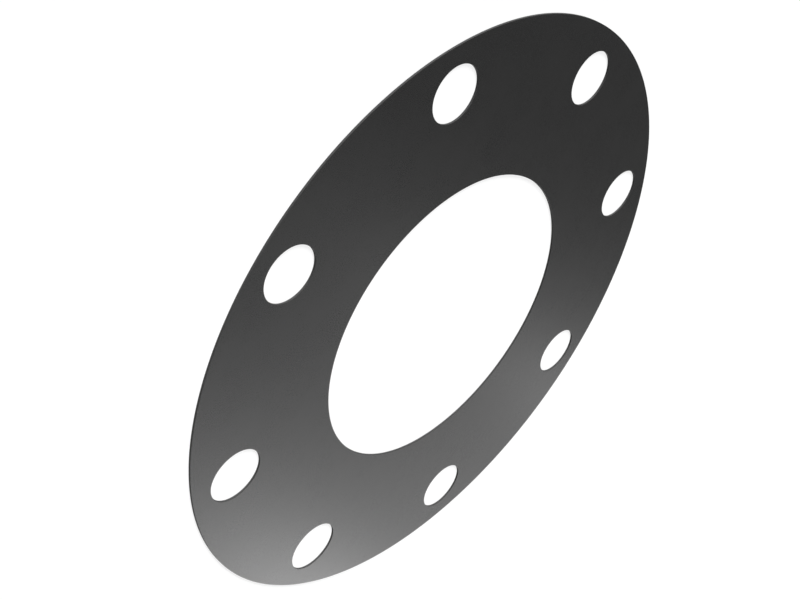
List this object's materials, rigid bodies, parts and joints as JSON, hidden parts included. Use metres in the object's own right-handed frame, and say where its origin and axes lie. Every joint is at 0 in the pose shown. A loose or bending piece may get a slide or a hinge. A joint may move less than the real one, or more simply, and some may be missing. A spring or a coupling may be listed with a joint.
{
  "type": "full-face flange gasket",
  "caption": "Thin full-face flange gasket: a flat rubber ring with a wide centre bore and a circle of bolt holes, clamped between pipe flanges to seal the joint.",
  "frame": {"origin": "on the bore axis, in the plane of the bottom face", "axes": "+Z out of the top face along the bore axis, +X through the centre of a bolt hole"},
  "size_m": [0.254, 0.254, 0.0008],
  "materials": {
    "sheet_rubber": "satin calendered black sheet rubber, matt where it is cut"
  },
  "bodies": {
    "root": {"gasket": "sheet_rubber"}
  },
  "joints": []
}
